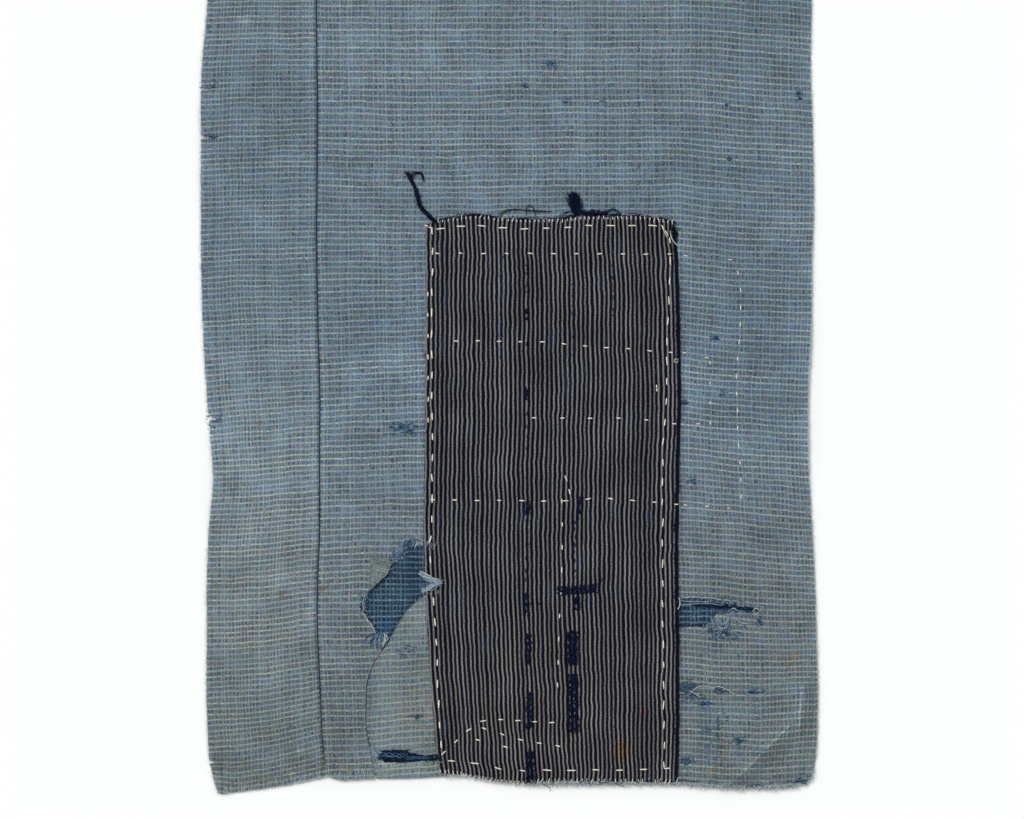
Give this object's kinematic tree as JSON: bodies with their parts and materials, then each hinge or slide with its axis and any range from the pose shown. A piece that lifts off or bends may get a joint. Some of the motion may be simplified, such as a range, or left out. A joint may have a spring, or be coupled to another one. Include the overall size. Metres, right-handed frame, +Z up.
{
  "type": "boro patched cloth",
  "caption": "Mended check cotton cloth lying flat: seamed panels, a dark striped patch with running stitches, torn holes over an indigo backing.",
  "frame": {"origin": "on the surface that the cloth lies on, under the centre of its plan", "axes": "+X across the cloth towards the wide panel's outer selvedge, +Y along the warp away from the bottom hem, +Z up out of the face"},
  "size_m": [0.4255, 0.64, 0.0052],
  "materials": {
    "washed_check_cotton": "washed indigo and cream check, plain weave, matt",
    "striped_cotton": "near-black indigo with narrow tan stripes, plain weave, matt",
    "pale_check_cotton": "faded tan and blue check, plain weave, matt",
    "indigo_check_cotton": "strong indigo with pale blue check lines, plain weave, matt",
    "sewing_thread": "undyed twisted cotton thread, matt",
    "indigo_thread": "indigo-dyed cotton thread, matt"
  },
  "bodies": {
    "root": {"side_panel": "washed_check_cotton", "main_panel": "washed_check_cotton", "striped_patch": "striped_cotton", "pale_check_patch": "pale_check_cotton", "indigo_backing": "indigo_check_cotton"}
  },
  "joints": []
}
